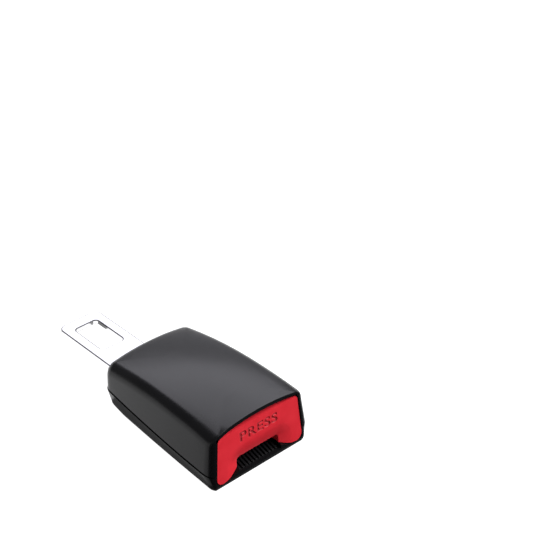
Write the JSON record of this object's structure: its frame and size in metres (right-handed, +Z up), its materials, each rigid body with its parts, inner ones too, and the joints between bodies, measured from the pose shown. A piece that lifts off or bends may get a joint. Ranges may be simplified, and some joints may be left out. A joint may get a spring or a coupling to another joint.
{
  "type": "seat belt extender",
  "caption": "Rigid seat belt extender: a short moulded buckle with a red push button, a sprung latch inside, and a flat steel tongue with a latching window at its back.",
  "frame": {"origin": "middle of the whole part's length and width, on the flat underside that it lies on", "axes": "+Y runs from the button end to the tongue's tip, +Z up from the flat underside, +X across to the right seen from the button's back"},
  "size_m": [0.0538, 0.124, 0.0296],
  "materials": {
    "black_plastic": "satin",
    "red_plastic": "satin",
    "natural_plastic": "satin",
    "bright_steel": "polished",
    "zinc_steel": "satin",
    "spring_steel": "satin"
  },
  "bodies": {
    "housing": {"upper_cover": "black_plastic", "lower_cover": "black_plastic", "latch_frame": "zinc_steel", "tongue_plate": "bright_steel", "pivot_pin": "zinc_steel", "pivot_clip": "spring_steel", "ejector_spring": "spring_steel", "latch_spring": "spring_steel", "button_spring_left": "spring_steel", "button_spring_right": "spring_steel", "tongue_rivet_left": "zinc_steel", "tongue_rivet_right": "zinc_steel", "rivet_washer_left": "zinc_steel", "rivet_washer_right": "zinc_steel"},
    "button": {"press_button": "red_plastic"},
    "locking_bar": {"lock_bar": "zinc_steel"},
    "latch": {"latch_plate": "zinc_steel"},
    "ejecting_slider": {"ejector": "natural_plastic"}
  },
  "joints": [
    {"name": "button_press", "type": "slide", "parent": "housing", "child": "button", "axis": [0, 1, 0], "range_m": [0, 0.006], "stiffness_N_per_m": 700, "springref_m": -0.008, "deforming": ["button_spring_left", "button_spring_right"]},
    {"name": "lock_bar_slide", "type": "slide", "parent": "housing", "child": "locking_bar", "axis": [0, 0.8321, 0.5547], "range_m": [0, 0.00722]},
    {"name": "latch_pivot", "type": "hinge", "parent": "housing", "child": "latch", "pos_m": [0, -0.012, 0.0142], "axis": [-1, 0, 0], "range_deg": [0, 12.55], "deforming": ["latch_spring"]},
    {"name": "ejector_slide", "type": "slide", "parent": "housing", "child": "ejecting_slider", "axis": [0, 1, 0], "range_m": [0, 0.0155], "stiffness_N_per_m": 400, "springref_m": -0.006, "deforming": ["ejector_spring"]}
  ],
  "couplings": [
    {"joint": "lock_bar_slide", "follows": "button_press", "ratio": 1.2019},
    {"joint": "latch_pivot", "follows": "button_press", "rad_per_m": 36.36}
  ]
}
